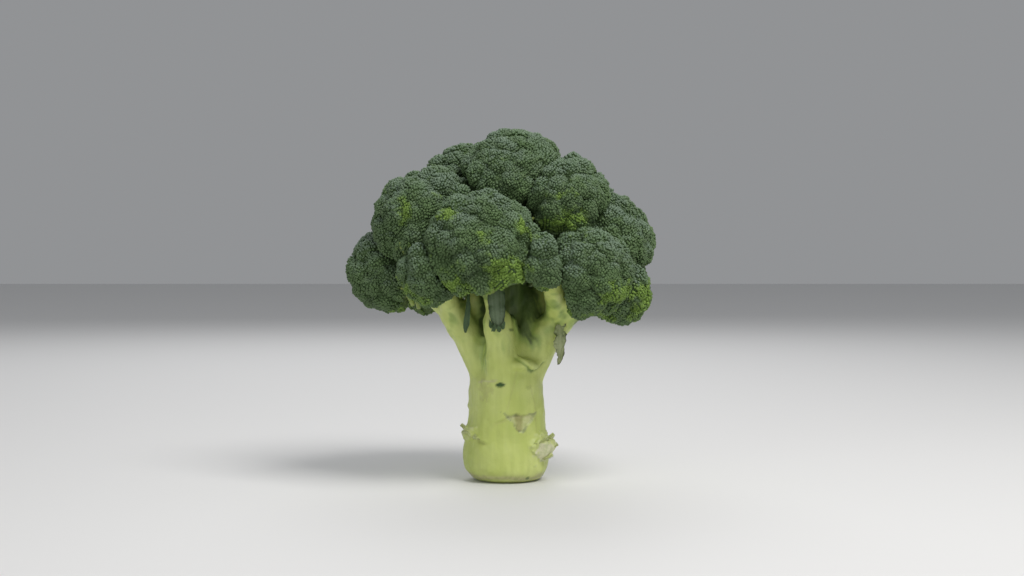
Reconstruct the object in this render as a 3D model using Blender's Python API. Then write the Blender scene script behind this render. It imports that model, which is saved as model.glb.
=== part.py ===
"""A head of broccoli as it is cut: a thick pale stalk that branches like a small tree under a
crown of bud clusters, with the few small leaves that grow between its branches.

Metres, +Z up. The origin is the middle of the flat cut at the stalk's foot, and -Y is the front.
"""

from math import acos, cos, pi, radians, sin

import bmesh
import bpy
from mathutils import Vector

# Driving sizes.
CROWN_RADIUS = 0.0755
CROWN_HEIGHT = 0.1050        # the crown's middle, above the foot
STALK_RADIUS = 0.0205        # at its thickest, low down
NECK_RADIUS = 0.0185         # just below the fork
FOOT_RADIUS = 0.0145         # the flat of the cut
FOOT_ROUNDING = 0.0060       # height of the rounded edge above the cut
FORK_HEIGHT = 0.0520
LIMB_ROOT_RADIUS = 0.0100
LIMB_RADIUS = 0.0080         # at the limb's end, where it divides into twigs
TWIG_ROOT_RADIUS = 0.0062    # where it leaves its limb
TWIG_RADIUS = 0.0050
STUB_DEPTH = 1.5             # a leaf stub's depth into the trunk, over its height
LEAF_THICKNESS = 0.0010
LEAF_CUP = 0.25              # how far a leaf's edges curl off its limb, over its half width
GAP = 0.0003                 # left between pieces that touch

# How finely round shapes are divided.
TRUNK_SIDES = 28
BRANCH_SIDES = 12
LIMB_STEPS = 4
FLORET_SIDES = 20
FLORET_RINGS = 8
STUB_STEPS = 8
LEAF_ROWS = 8
PLANE_STEPS = 12             # places tried for a plane between a floret and a branch
FOOT_WORTH = 20.0            # how much more a floret's foot counts than its head in that choice

# A twig stops this share of the floret's radius short of its centre, and the floret's underside
# closes on the twig's end in a shallow cone.
TWIG_REACH = 0.86

# Limbs, as the place where each divides, in crown radii about the crown's middle.
LIMBS = {
    "left": (-0.35, -0.07, -0.27),
    "front": (-0.07, -0.24, -0.32),
    "right": (0.33, -0.08, -0.33),
    "top": (0.03, 0.04, -0.10),
    "back": (0.04, 0.25, -0.31),
    "back_left": (-0.30, 0.25, -0.32),
    "back_right": (0.31, 0.26, -0.32),
}

# Florets: the limb each grows from, its centre in crown radii about the crown's middle, its
# radius in crown radii, and how far below its centre the buds reach, in its own radii.
FLORETS = {
    "left": ("left", (-0.775, 0.02, 0.00), 0.272, 0.75),
    "upper_left": ("left", (-0.49, -0.08, 0.29), 0.384, 0.50),
    "front_left": ("left", (-0.46, -0.40, 0.00), 0.225, 0.40),
    "front": ("front", (-0.16, -0.412, 0.14), 0.372, 0.42),
    "front_middle": ("right", (0.27, -0.53, 0.07), 0.180, 0.55),
    "right": ("right", (0.585, 0.05, 0.15), 0.384, 0.55),
    "front_right": ("right", (0.52, -0.385, -0.015), 0.285, 0.80),
    "lower_right": ("right", (0.715, -0.18, -0.12), 0.225, 0.65),
    "top": ("top", (0.05, 0.02, 0.525), 0.390, 0.55),
    "top_left": ("top", (-0.25, 0.22, 0.505), 0.330, 0.55),
    "upper_right": ("top", (0.36, -0.16, 0.455), 0.311, 0.55),
    "back": ("back", (0.05, 0.54, 0.07), 0.397, 0.50),
    "back_top": ("top", (0.08, 0.38, 0.37), 0.371, 0.50),
    "back_left": ("back_left", (-0.50, 0.46, 0.01), 0.331, 0.55),
    "back_right": ("back_right", (0.52, 0.48, 0.01), 0.331, 0.55),
}

# Cut leaf stalks, which hug the trunk in a crescent: compass angle from the front towards +X,
# height over the fork's height, how far each stands out, half its spread in degrees and half
# its height.
LEAF_STUBS = (
    (-72, 0.46, 0.0040, 40, 0.0034),
    (66, 0.35, 0.0066, 34, 0.0062),
    (30, 1.13, 0.0034, 36, 0.0032),
    (165, 0.63, 0.0042, 38, 0.0040),
)

# Small leaves: the limb each grows on and how far along it, which way it stands off the limb,
# which way its blade faces and points, its length, half its width and its tip's outward bend.
LEAVES = {
    "front": ("front", 0.62, (0.10, -1.0, 0.10), (0.1, -1.0, 0.1), (0.02, -0.25, 1.0), 0.0165, 0.0045, 0.1),
    "left": ("left", 0.75, (0.30, -0.95, 0.0), (1.0, -0.25, 0.1), (-0.12, -0.12, 1.0), 0.0145, 0.0028, 0.0),
    "right": ("right", 0.90, (0.50, -0.86, 0.0), (0.5, -0.8, 0.0), (0.05, -0.05, -1.0), 0.0185, 0.0050, 0.05),
}


def material(name, colour, roughness):
    """A plain surface of one colour, given in linear light."""
    made = bpy.data.materials.new(name)
    made.use_nodes = True
    shader = made.node_tree.nodes["Principled BSDF"]
    shader.inputs["Base Color"].default_value = (*colour, 1.0)
    shader.inputs["Roughness"].default_value = roughness
    return made


def mesh_object(name, bm, surface, collection):
    """An object that holds the mesh bm, shaded smooth except at its cut edges."""
    bmesh.ops.recalc_face_normals(bm, faces=bm.faces)
    mesh = bpy.data.meshes.new(name)
    bm.to_mesh(mesh)
    bm.free()
    mesh.shade_smooth()
    mesh.set_sharp_from_angle(angle=radians(40))
    mesh.materials.append(surface)
    made = bpy.data.objects.new(name, mesh)
    collection.objects.link(made)
    return made


def crown_point(shares):
    """A point given in crown radii about the crown's middle."""
    return Vector(shares) * CROWN_RADIUS + Vector((0, 0, CROWN_HEIGHT))


def limb_path(limb):
    """Points and radii along one limb, which leaves the trunk upright and bends outwards."""
    end = crown_point(LIMBS[limb])
    outwards = Vector((end.x, end.y, 0))
    if outwards.length > NECK_RADIUS:
        outwards = outwards.normalized() * NECK_RADIUS
    start = outwards * 0.42 + Vector((0, 0, FORK_HEIGHT - LIMB_ROOT_RADIUS * 0.6))
    bend = outwards * 0.62 + Vector((0, 0, FORK_HEIGHT + 0.35 * (end.z - FORK_HEIGHT)))
    points, sizes = [], []
    for step in range(LIMB_STEPS + 1):
        t = step / LIMB_STEPS
        points.append(start * (1 - t) ** 2 + bend * 2 * t * (1 - t) + end * t * t)
        sizes.append(LIMB_ROOT_RADIUS + (LIMB_RADIUS - LIMB_ROOT_RADIUS) * t)
    return points, sizes


def floret_shape(name):
    """A floret's centre, radius, and the end of the twig that carries it."""
    limb, shares, radius_share, _ = FLORETS[name]
    centre = crown_point(shares)
    radius = radius_share * CROWN_RADIUS
    towards_limb = (crown_point(LIMBS[limb]) - centre).normalized()
    return centre, radius, centre + towards_limb * radius * TWIG_REACH


def twig_path(name):
    """Points and radii along the twig that carries a floret, from its limb's end."""
    limb = FLORETS[name][0]
    start = crown_point(LIMBS[limb])
    _, _, twig_end = floret_shape(name)
    return (start, start.lerp(twig_end, 0.5), twig_end), (TWIG_ROOT_RADIUS, TWIG_RADIUS, TWIG_RADIUS)


def ring(bm, middle, across, along, width, height, sides):
    """One closed ring of points, an ellipse that faces along."""
    up = along.cross(across).normalized()
    turns = [2 * pi * side / sides for side in range(sides)]
    return [bm.verts.new(middle + across * cos(a) * width + up * sin(a) * height) for a in turns]


def skin_rings(bm, rings):
    """Faces between neighbouring rings, and a flat cap on each end."""
    for low, high in zip(rings, rings[1:]):
        for side in range(len(low)):
            after = (side + 1) % len(low)
            bm.faces.new((low[side], low[after], high[after], high[side]))
    bm.faces.new(rings[0][::-1])
    bm.faces.new(rings[-1])


def tube(points, sizes, sides, flatness=1.0):
    """A tapering tube along the points; flatness is its height over its width."""
    bm = bmesh.new()
    across = (points[1] - points[0]).orthogonal().normalized()
    if flatness != 1.0:
        across = (points[1] - points[0]).cross(Vector((0, 0, 1))).normalized()
    rings = []
    for place, (point, size) in enumerate(zip(points, sizes)):
        before = points[max(place - 1, 0)]
        after = points[min(place + 1, len(points) - 1)]
        along = (after - before).normalized()
        across = (across - along * across.dot(along)).normalized()
        rings.append(ring(bm, point, across, along, size, size * flatness, sides))
    skin_rings(bm, rings)
    return bm


def ball(centre, radius):
    """A round knuckle where branches meet."""
    bm = bmesh.new()
    bmesh.ops.create_icosphere(bm, subdivisions=2, radius=radius)
    bmesh.ops.translate(bm, verts=bm.verts, vec=centre)
    return bm


def trunk():
    """The stalk below the fork: a turned body on a flat cut with a rounded edge."""
    bm = bmesh.new()
    waist = FORK_HEIGHT * 0.45
    outline = (
        (FOOT_RADIUS, 0.0),
        (FOOT_RADIUS + 0.62 * (STALK_RADIUS - FOOT_RADIUS), 0.28 * FOOT_ROUNDING),
        (STALK_RADIUS, FOOT_ROUNDING),
        (STALK_RADIUS, 2.2 * FOOT_ROUNDING),
        ((STALK_RADIUS + NECK_RADIUS) / 2, waist),
        (NECK_RADIUS, FORK_HEIGHT * 0.82),
        (NECK_RADIUS, FORK_HEIGHT),
        (NECK_RADIUS * 0.86, FORK_HEIGHT + NECK_RADIUS * 0.30),
        (NECK_RADIUS * 0.50, FORK_HEIGHT + NECK_RADIUS * 0.50),
    )
    rings = []
    for radius, height in outline:
        middle = Vector((0, 0, height))
        rings.append(ring(bm, middle, Vector((1, 0, 0)), Vector((0, 0, 1)), radius, radius, TRUNK_SIDES))
    skin_rings(bm, rings)
    return bm


def stub_path(angle, height_share, projection, half_spread, half_height):
    """Points and depths along one cut leaf stalk, a crescent that is thickest in its middle."""
    points, sizes = [], []
    for step in range(STUB_STEPS + 1):
        share = 2 * step / STUB_STEPS - 1
        turn = radians(angle + half_spread * share)
        fullness = cos(share * pi / 2) * 0.92 + 0.08
        reach = NECK_RADIUS + projection * fullness - half_height * STUB_DEPTH
        height = height_share * FORK_HEIGHT
        points.append(Vector((reach * sin(turn), -reach * cos(turn), height)))
        sizes.append(half_height * STUB_DEPTH * (0.5 + 0.5 * fullness))
    return points, sizes


def stalk_stretches():
    """Every straight stretch of the stalk, as its ends, the radius at each, and its floret."""
    paths = [(limb_path(limb), None) for limb in LIMBS]
    paths += [(twig_path(name), name) for name in FLORETS]
    paths += [(stub_path(*stub), None) for stub in LEAF_STUBS]
    foot, fork = Vector((0, 0, 0)), Vector((0, 0, FORK_HEIGHT))
    stretches = [(foot, fork, (STALK_RADIUS, NECK_RADIUS), None)]
    for (points, sizes), owner in paths:
        for place in range(len(points) - 1):
            stretches.append((points[place], points[place + 1], sizes[place:place + 2], owner))
    return stretches


def make_stalk(surface, collection):
    """The whole stalk: the trunk, its limbs and their twigs, grown together as one solid."""
    grown = bpy.data.collections.new("stalk_growth")
    bpy.context.scene.collection.children.link(grown)
    shapes = [tube(*stub_path(*stub), BRANCH_SIDES, 1 / STUB_DEPTH) for stub in LEAF_STUBS]
    for limb in LIMBS:
        shapes.append(tube(*limb_path(limb), BRANCH_SIDES))
        shapes.append(ball(crown_point(LIMBS[limb]), LIMB_RADIUS))
    for name in FLORETS:
        shapes.append(tube(*twig_path(name), BRANCH_SIDES))
    for count, shape in enumerate(shapes):
        part = mesh_object(f"growth_{count}", shape, surface, grown)
        part.hide_render = True
        part.display_type = "WIRE"
    stalk = mesh_object("stalk", trunk(), surface, collection)
    union = stalk.modifiers.new("grown_together", "BOOLEAN")
    union.operation = "UNION"
    union.operand_type = "COLLECTION"
    union.collection = grown
    union.solver = "EXACT"
    return stalk


def share_along(start, end, point):
    """How far along a straight stretch its nearest place to a point lies, from 0 to 1."""
    along = end - start
    return min(max((point - start).dot(along) / along.length_squared, 0.0), 1.0)


def foot_room(point, direction, floret):
    """How far a floret's foot stays inside a plane that faces away from it."""
    centre, _, twig_end = floret_shape(floret)
    tilt = direction.cross((twig_end - centre).normalized()).length
    return (point - twig_end).dot(direction) - TWIG_RADIUS * tilt


def plane_between(name, other):
    """The plane where two florets press on each other, as a point and a direction.

    Two round heads meet in the plane through the circle that they share. Where that plane would
    cut either one off its twig, it turns about the same place until it runs between their feet.
    """
    centre, radius, twig_end = floret_shape(name)
    other_centre, other_radius, other_end = floret_shape(other)
    apart = other_centre - centre
    share = (apart.length_squared + radius ** 2 - other_radius ** 2) / (2 * apart.length)
    straight = apart.normalized()
    point = centre + straight * share
    down = ((twig_end + other_end) / 2 - point).normalized()
    turned = (straight - down * straight.dot(down)).normalized()
    for step in range(PLANE_STEPS + 1):
        direction = straight.lerp(turned, step / PLANE_STEPS).normalized()
        room = min(foot_room(point, direction, name), foot_room(point, -direction, other))
        if room >= GAP:
            break
    return point, direction


def plane_beside(name, start, end, size):
    """A plane between a floret and a branch that isn't its own, as a point and a direction.

    It is looked for from places along the floret's axis. Of the planes that leave the floret's
    foot whole, the one that cuts its head least is used.
    """
    centre, _, twig_end = floret_shape(name)
    best = None
    for step in range(PLANE_STEPS + 1):
        near = centre.lerp(twig_end, step / PLANE_STEPS)
        far = start.lerp(end, share_along(start, end, near))
        direction = (far - near).normalized()
        point = far - direction * (size + GAP)
        room = min(foot_room(point, direction, name), 0.0)
        worth = (point - centre).dot(direction) + FOOT_WORTH * room
        if best is None or worth > best[0]:
            best = worth, point, direction
    return best[1:]


def cut_away(bm, point, outwards):
    """Takes off all of a bulging solid that lies beyond a plane, and closes the cut flat."""
    geometry = bm.verts[:] + bm.edges[:] + bm.faces[:]
    cut = bmesh.ops.bisect_plane(bm, geom=geometry, dist=1e-6, plane_co=point, plane_no=outwards,
                                 clear_outer=True)
    edges = [item for item in cut["geom_cut"] if isinstance(item, bmesh.types.BMEdge)]
    if edges:
        bmesh.ops.contextual_create(bm, geom=edges)


def make_floret(name, surface, collection):
    """One bud cluster: a round head that closes on its twig, cut flat where it presses on others."""
    centre, radius, twig_end = floret_shape(name)
    downwards = (twig_end - centre).normalized()
    across = downwards.orthogonal().normalized()
    widest_turn = acos(-FLORETS[name][3])
    bm = bmesh.new()
    rings = []
    for step in range(1, FLORET_RINGS + 1):
        turn = widest_turn * step / FLORET_RINGS
        middle = centre - downwards * radius * cos(turn)
        rings.append(ring(bm, middle, across, downwards, radius * sin(turn), radius * sin(turn),
                          FLORET_SIDES))
    foot = twig_end - downwards * GAP
    rings.append(ring(bm, foot, across, downwards, TWIG_RADIUS, TWIG_RADIUS, FLORET_SIDES))
    skin_rings(bm, rings)
    crest = bmesh.ops.poke(bm, faces=[face for face in bm.faces if len(face.verts) > 4
                                      and (face.calc_center_median() - foot).length > radius])
    crest["verts"][0].co = centre - downwards * radius

    for other in FLORETS:
        if other != name:
            point, direction = plane_between(name, other)
            cut_away(bm, point - direction * GAP / 2, direction)
    for start, end, sizes, owner in stalk_stretches():
        if owner != name:
            cut_away(bm, *plane_beside(name, start, end, max(sizes)))
    bmesh.ops.remove_doubles(bm, verts=bm.verts, dist=2e-5)
    bmesh.ops.dissolve_degenerate(bm, dist=1e-5, edges=bm.edges)
    bmesh.ops.triangulate(bm, faces=bm.faces)
    return mesh_object(f"floret_{name}", bm, surface, collection)


def blade_rows(root, along, across, length, half_width, bend):
    """Rows of points over a leaf's blade, from its root to its narrow tip."""
    out = across.cross(along)
    rows = []
    for row in range(LEAF_ROWS + 1):
        t = row / LEAF_ROWS
        middle = root + along * length * t + out * length * bend * t * t
        half = half_width * (0.30 + 0.70 * sin(pi * t ** 0.8)) * (1 - 0.6 * t ** 4)
        cup = out * half * LEAF_CUP
        rows.append([middle + across * half * side + cup * side * side
                     for side in (-1.0, -0.5, 0.0, 0.5, 1.0)])
    return rows


def stands_clear(rows, stretches):
    """Whether a blade keeps its gap to the whole stalk."""
    keep = GAP + LEAF_THICKNESS / 2
    for start, end, sizes, _ in stretches:
        for point in (point for row in rows for point in row):
            share = share_along(start, end, point)
            size = sizes[0] + (sizes[1] - sizes[0]) * share
            if (start.lerp(end, share) - point).length < size + keep:
                return False
    return True


def free_share(rows, half_width):
    """The share of a blade's length that lies under every floret."""
    keep = GAP + LEAF_THICKNESS
    for count, row in enumerate(rows):
        for name in FLORETS:
            centre, radius, twig_end = floret_shape(name)
            axis = (centre - twig_end).normalized()
            for point in row:
                above = (point - twig_end).dot(axis)
                beside = (point - twig_end - axis * above).length
                if above > -keep and beside < radius + half_width:
                    return (count - 1) / LEAF_ROWS
    return 1.0


def make_leaf(name, surface, collection):
    """A small leaf: a thin curved blade that starts on its limb and narrows to its tip.

    The blade moves off its limb until it clears the stalk, and is as long as the florets allow.
    """
    limb, place, stands, faces, points_to, length, half_width, bend = LEAVES[name]
    points, sizes = limb_path(limb)
    spot = place * LIMB_STEPS
    low = int(spot)
    off = Vector(stands).normalized()
    along = Vector(points_to).normalized()
    across = along.cross(Vector(faces)).normalized()
    root = points[low].lerp(points[low + 1], spot - low) + off * sizes[low + 1]
    stretches = stalk_stretches()
    rows = blade_rows(root, along, across, length, half_width, bend)
    while not stands_clear(rows, stretches):
        root = root + off * GAP / 2
        rows = blade_rows(root, along, across, length, half_width, bend)
    length *= free_share(rows, half_width)
    bm = bmesh.new()
    grid = [[bm.verts.new(point) for point in row]
            for row in blade_rows(root, along, across, length, half_width, bend)]
    for low_row, high_row in zip(grid, grid[1:]):
        for side in range(len(low_row) - 1):
            bm.faces.new((low_row[side], low_row[side + 1], high_row[side + 1], high_row[side]))
    blade = mesh_object(f"leaf_{name}", bm, surface, collection)
    thickness = blade.modifiers.new("thickness", "SOLIDIFY")
    thickness.thickness = LEAF_THICKNESS
    thickness.offset = 0.0
    return blade


def main():
    for old in list(bpy.data.objects):
        bpy.data.objects.remove(old, do_unlink=True)
    collection = bpy.context.scene.collection
    make_stalk(material("stalk", (0.40, 0.47, 0.17), 0.45), collection)
    for name in FLORETS:
        make_floret(name, material(f"floret_{name}", (0.09, 0.15, 0.06), 0.85), collection)
    for name in LEAVES:
        make_leaf(name, material(f"leaf_{name}", (0.12, 0.18, 0.08), 0.6), collection)


main()
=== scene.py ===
# %% [markdown]
# # A head of broccoli
#
# A broccoli head is a young flower head, picked before it opens. A thick stalk forks into limbs,
# the limbs into twigs, the twigs into thin pedicels, and each pedicel ends in closed green buds.
# The buds are so many and so close that they read as a rough skin over round heaps, the florets.
#
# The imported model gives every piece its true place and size: one solid for the stalk, one for each
# floret and one for each small leaf. This script grows the visible surface on those solids. The
# stalk's solid is melted smooth and scarred. Each floret becomes a dark lumpy core, a fan of
# pedicels under it and some hundreds to thousands of modelled buds on it.

# %% The fixed frame
import bpy
import numpy as np
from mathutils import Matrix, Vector
from mathutils.bvhtree import BVHTree


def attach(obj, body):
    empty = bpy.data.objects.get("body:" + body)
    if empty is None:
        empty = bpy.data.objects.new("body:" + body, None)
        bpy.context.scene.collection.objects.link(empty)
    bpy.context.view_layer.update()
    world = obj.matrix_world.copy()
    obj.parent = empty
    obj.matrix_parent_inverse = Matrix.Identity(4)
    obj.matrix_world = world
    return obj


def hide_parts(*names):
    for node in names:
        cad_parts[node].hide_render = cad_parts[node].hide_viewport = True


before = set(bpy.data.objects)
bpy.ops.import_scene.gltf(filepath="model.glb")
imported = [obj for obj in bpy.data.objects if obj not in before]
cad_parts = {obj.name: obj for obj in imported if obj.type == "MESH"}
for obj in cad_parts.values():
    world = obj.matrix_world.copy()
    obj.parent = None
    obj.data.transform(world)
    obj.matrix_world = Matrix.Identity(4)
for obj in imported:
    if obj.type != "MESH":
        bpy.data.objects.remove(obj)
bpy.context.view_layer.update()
FLORETS = sorted(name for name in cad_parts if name.startswith("floret_"))
print("florets:", len(FLORETS))

# %% [markdown]
# ## Sizes of growth
#
# The real head's own pitches are named once, in metres. A closed broccoli bud is about a
# millimetre and a quarter across. Buds sit on small knobs about 5 mm across, where one pedicel
# spreads them, and the knobs on lobes about 12 mm across, where one thin branch does.

# %% Driving sizes
MM = 0.001
BUD_PITCH = 1.20 * MM        # from the middle of one bud to the next
LOBE_PITCH = 12.0 * MM       # the larger heaps within a floret
LOBE_HEIGHT = 2.5 * MM
KNOB_PITCH = 5.2 * MM        # the smaller heaps within a lobe
KNOB_HEIGHT = 0.9 * MM
CORE_DEPTH = 0.22 * MM       # how far the dark core lies under the middles of the buds
SKIN_GRAIN = 0.68 * MM       # the grid on which the stalk is melted smooth
PEDICEL_RADIUS = 1.25 * MM

# %% [markdown]
# ## Small tools
#
# Everything grown here is worked out as whole arrays. Natural unevenness comes from one function:
# a sum of sine waves that run in random directions. It is smooth, it needs no lookup, and the same
# seed always gives the same value at the same place, so neighbouring pieces can share it.

# %% Arrays, noise and meshes
def unit(vectors):
    """Each vector over its own length."""
    return vectors / np.maximum(np.linalg.norm(vectors, axis=-1, keepdims=True), 1e-12)


def uneven(points, pitch, seed, octaves=3):
    """Smooth noise of about -1 to 1 at each point.

    The sum over random directions of sin(direction . point / pitch + phase); each further octave
    has half the pitch and half the height.
    """
    rng = np.random.default_rng(seed)
    total = np.zeros(len(points))
    for octave in range(octaves):
        directions = unit(rng.normal(size=(16, 3))) * rng.uniform(0.7, 1.3, (16, 1))
        waves = directions.T * 2 * np.pi / pitch * 2 ** octave
        phases = rng.uniform(0, 2 * np.pi, 16)
        total += 0.5 ** octave * np.sin(points @ waves + phases).sum(1) / 4
    return total / 1.6


def ease(low, high, values):
    """0 below low, 1 above high, and 3t^2 - 2t^3 between them."""
    t = np.clip((values - low) / (high - low), 0, 1)
    return t * t * (3 - 2 * t)


def spiral(count):
    """Directions spread evenly over a ball.

    The k-th has height 1 - (2k + 1)/count and has turned k golden angles.
    """
    k = np.arange(count)
    height = 1 - (2 * k + 1) / count
    turn = k * np.pi * (3 - np.sqrt(5))
    flat = np.sqrt(1 - height ** 2)
    return np.stack([flat * np.cos(turn), flat * np.sin(turn), height], 1)


def sideways(directions):
    """Two unit vectors at right angles to each direction and to each other."""
    helper = np.where(np.abs(directions[:, 2:]) > 0.9, [[1.0, 0.0, 0.0]], [[0.0, 0.0, 1.0]])
    first = unit(np.cross(directions, helper))
    return first, np.cross(directions, first)


def fan(first, sides, pole, turned=False):
    """Triangles from a ring of points, numbered on from first, to one pole that closes it."""
    k = np.arange(sides)
    a, b = first + k, first + (k + 1) % sides
    return np.stack([b, a, k * 0 + pole] if turned else [a, b, k * 0 + pole], 1)


def ring_faces(rows, sides):
    """Two triangles for each cell between rings of points, ring after ring."""
    k = np.arange(sides)
    a = np.arange(rows - 1)[:, None] * sides + k
    b = np.arange(rows - 1)[:, None] * sides + (k + 1) % sides
    quads = np.stack([a, b, b + sides, a + sides], -1).reshape(-1, 4)
    return np.concatenate([quads[:, [0, 1, 2]], quads[:, [0, 2, 3]]])


def closed_rings(rings, turned=False):
    """Points and triangles of a surface through rings, with a pole in the middle of each end."""
    rows, sides = rings.shape[:2]
    pole = rows * sides
    points = np.concatenate([rings.reshape(-1, 3), rings[:1].mean(1), rings[-1:].mean(1)])
    faces = np.concatenate([ring_faces(rows, sides), fan(0, sides, pole, True),
                            fan(pole - sides, sides, pole + 1)])
    return points, faces[:, ::-1] if turned else faces


def make_piece(name, surface, points, faces, values=None, flat=None):
    """An object at the origin with these points and triangles, shaded smooth.

    values holds numbers that its material reads, one for each point. flat is a place on a texture
    for each corner of each triangle, for the map that an export bakes the finish through.
    """
    mesh = bpy.data.meshes.new(name)
    mesh.vertices.add(len(points))
    mesh.vertices.foreach_set("co", np.asarray(points, np.float32).ravel())
    mesh.loops.add(faces.size)
    mesh.loops.foreach_set("vertex_index", faces.astype(np.int32).ravel())
    mesh.polygons.add(len(faces))
    mesh.polygons.foreach_set("loop_start", np.arange(0, faces.size, 3, dtype=np.int32))
    mesh.update(calc_edges=True)
    mesh.shade_smooth()
    for key, numbers in (values or {}).items():
        layer = mesh.attributes.new(key, "FLOAT", "POINT")
        layer.data.foreach_set("value", np.asarray(numbers, np.float32))
    if flat is not None:
        mesh.uv_layers.new(name="OFBake").uv.foreach_set("vector", flat.astype(np.float32).ravel())
    mesh.materials.append(surface)
    piece = bpy.data.objects.new(name, mesh)
    bpy.context.scene.collection.objects.link(piece)
    return piece


def joined(parts):
    """Points, faces and values of several parts as one; each part is such a triple."""
    starts = np.cumsum([0] + [len(points) for points, _, _ in parts])
    points = np.concatenate([points for points, _, _ in parts])
    faces = np.concatenate([faces + start for (_, faces, _), start in zip(parts, starts)])
    keys = parts[0][2].keys()
    values = {key: np.concatenate([part[2][key] for part in parts]) for key in keys}
    return points, faces, values


def curve(nodes, rows):
    """Points spaced along a cubic fitted, for each axis, to nodes in millimetres."""
    nodes = np.array(nodes, float) * MM
    t = np.linspace(0, 1, len(nodes))
    fine = np.linspace(0, 1, rows)
    return np.stack([np.polyval(np.polyfit(t, nodes[:, k], min(3, len(nodes) - 1)), fine)
                     for k in range(3)], 1)


# %% [markdown]
# ## Camera, floor and light
#
# The head is seen level, from about its own crown's height, and a long lens keeps its outline
# nearly flat-on. It stands on a pale floor in soft light: a broad lamp high at the front right
# for shape, a weaker one from the left, and a pale surround.

# %% Camera
LENS = 65.0
DISTANCE = 0.924
TILT = np.radians(2.0)
aim = Vector((0.0025, 0.0, 0.096))
camera = bpy.data.objects.new("camera", bpy.data.cameras.new("camera"))
camera.data.lens = LENS
camera.data.sensor_width = 36.0
camera.location = aim + Vector((0, -np.cos(TILT), np.sin(TILT))) * DISTANCE
camera.rotation_euler = (np.pi / 2 - TILT, 0, 0)
bpy.context.scene.collection.objects.link(camera)
bpy.context.scene.camera = camera
bpy.context.scene.view_settings.view_transform = "Standard"
print("camera", [round(v, 3) for v in camera.location])


# %% Floor and lamps
def plain(name, colour, roughness):
    """A flat matt finish, for the floor."""
    made = bpy.data.materials.new(name)
    made.use_nodes = True
    shader = made.node_tree.nodes["Principled BSDF"]
    shader.inputs["Base Color"].default_value = (*colour, 1)
    shader.inputs["Roughness"].default_value = roughness
    return made


def lamp(name, place, size, power, colour=(1, 1, 1)):
    """A square soft lamp at place, turned to the middle of the head."""
    light = bpy.data.lights.new(name, "AREA")
    light.size = size
    light.energy = power
    light.color = colour
    made = bpy.data.objects.new(name, light)
    made.location = place
    made.rotation_euler = (aim - Vector(place)).to_track_quat("-Z", "Y").to_euler()
    bpy.context.scene.collection.objects.link(made)


corners = np.array([[-3, -3, 0], [3, -3, 0], [3, 3, 0], [-3, 3, 0]], float)
pale_floor = plain("floor", (0.74, 0.74, 0.74), 0.7)
floor = make_piece("floor", pale_floor, corners, np.array([[0, 1, 2], [0, 2, 3]]))
lamp("key_lamp", (0.48, -0.50, 1.05), 0.60, 11.5, (1.0, 0.98, 0.95))
lamp("fill_lamp", (-0.70, -0.95, 0.30), 0.80, 2.2)
lamp("back_lamp", (-0.10, 0.95, 0.85), 0.80, 4.2)
world = bpy.data.worlds.new("surround")
world.use_nodes = True
world.node_tree.nodes["Background"].inputs["Color"].default_value = (0.95, 0.97, 1.0, 1)
world.node_tree.nodes["Background"].inputs["Strength"].default_value = 0.30
bpy.context.scene.world = world

# %% [markdown]
# ## Finishes
#
# Plant skin is matt with a faint wax. Every finish here is a mixture of a few colours, and what
# mixes them is a mask: how deep a place lies (painted shade), which way a bud faces (partly
# painted light from above), which bud it is on, which way a fibre runs.
# The masks that more than one finish uses are node groups: soft blotches of two sizes, and long
# fibres that run up the stalk.

# %% Node helpers
def add(tree, kind, settings=None, **inputs):
    """A node with its settings, whose inputs are linked from sockets or set to values."""
    node = tree.nodes.new(kind)
    for key, value in (settings or {}).items():
        setattr(node, key, value)
    for key, value in inputs.items():
        wanted = key.replace("_", " ").lower()
        socket = next(s for s in node.inputs if s.name.lower() == wanted and s.enabled)
        if isinstance(value, bpy.types.NodeSocket):
            tree.links.new(value, socket)
        else:
            socket.default_value = value
    return node


def mix_colours(tree, factor, first, second):
    """first where factor is 0 and second where it is 1; each may be a colour or a socket."""
    node = tree.nodes.new("ShaderNodeMix")
    node.data_type = "RGBA"
    for index, value in ((0, factor), (6, first), (7, second)):
        if isinstance(value, bpy.types.NodeSocket):
            tree.links.new(value, node.inputs[index])
        elif index == 0:
            node.inputs[index].default_value = value
        else:
            node.inputs[index].default_value = (*value, 1)
    return node.outputs[2]


def steps(tree, value, low, high, bottom=0.0, top=1.0):
    """value between low and high, stretched smoothly to run from bottom to top."""
    return add(tree, "ShaderNodeMapRange", {"interpolation_type": "SMOOTHSTEP"}, Value=value,
               From_Min=low, From_Max=high, To_Min=bottom, To_Max=top).outputs[0]


def attribute(tree, name):
    """The number that the mesh carries under this name."""
    return add(tree, "ShaderNodeAttribute", {"attribute_name": name}).outputs["Fac"]


# %% Shared masks
def mask_group(name, inputs, outputs):
    """A node group with numbers in and out, its two ends, and Object coordinates to work on."""
    tree = bpy.data.node_groups.new(name, "ShaderNodeTree")
    for way, names in (("INPUT", inputs), ("OUTPUT", outputs)):
        for key in names:
            socket = tree.interface.new_socket(name=key, in_out=way, socket_type="NodeSocketFloat")
            socket.default_value = names[key]
    ends = [tree.nodes.new(kind) for kind in ("NodeGroupInput", "NodeGroupOutput")]
    return tree, *ends, tree.nodes.new("ShaderNodeTexCoord").outputs["Object"]


def blotches_group():
    """Soft patches: a broad noise and a fine one, each 0 to 1."""
    tree, start, end, place = mask_group("blotches", {"Broad Scale": 60.0, "Fine Scale": 600.0},
                                         {"Broad": 0.0, "Fine": 0.0})
    for name in ("Broad", "Fine"):
        noise = add(tree, "ShaderNodeTexNoise", Vector=place, Scale=start.outputs[f"{name} Scale"],
                    Detail=3.0, Roughness=0.55)
        tree.links.new(steps(tree, noise.outputs["Fac"], 0.30, 0.70), end.inputs[name])
    return tree


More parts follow.
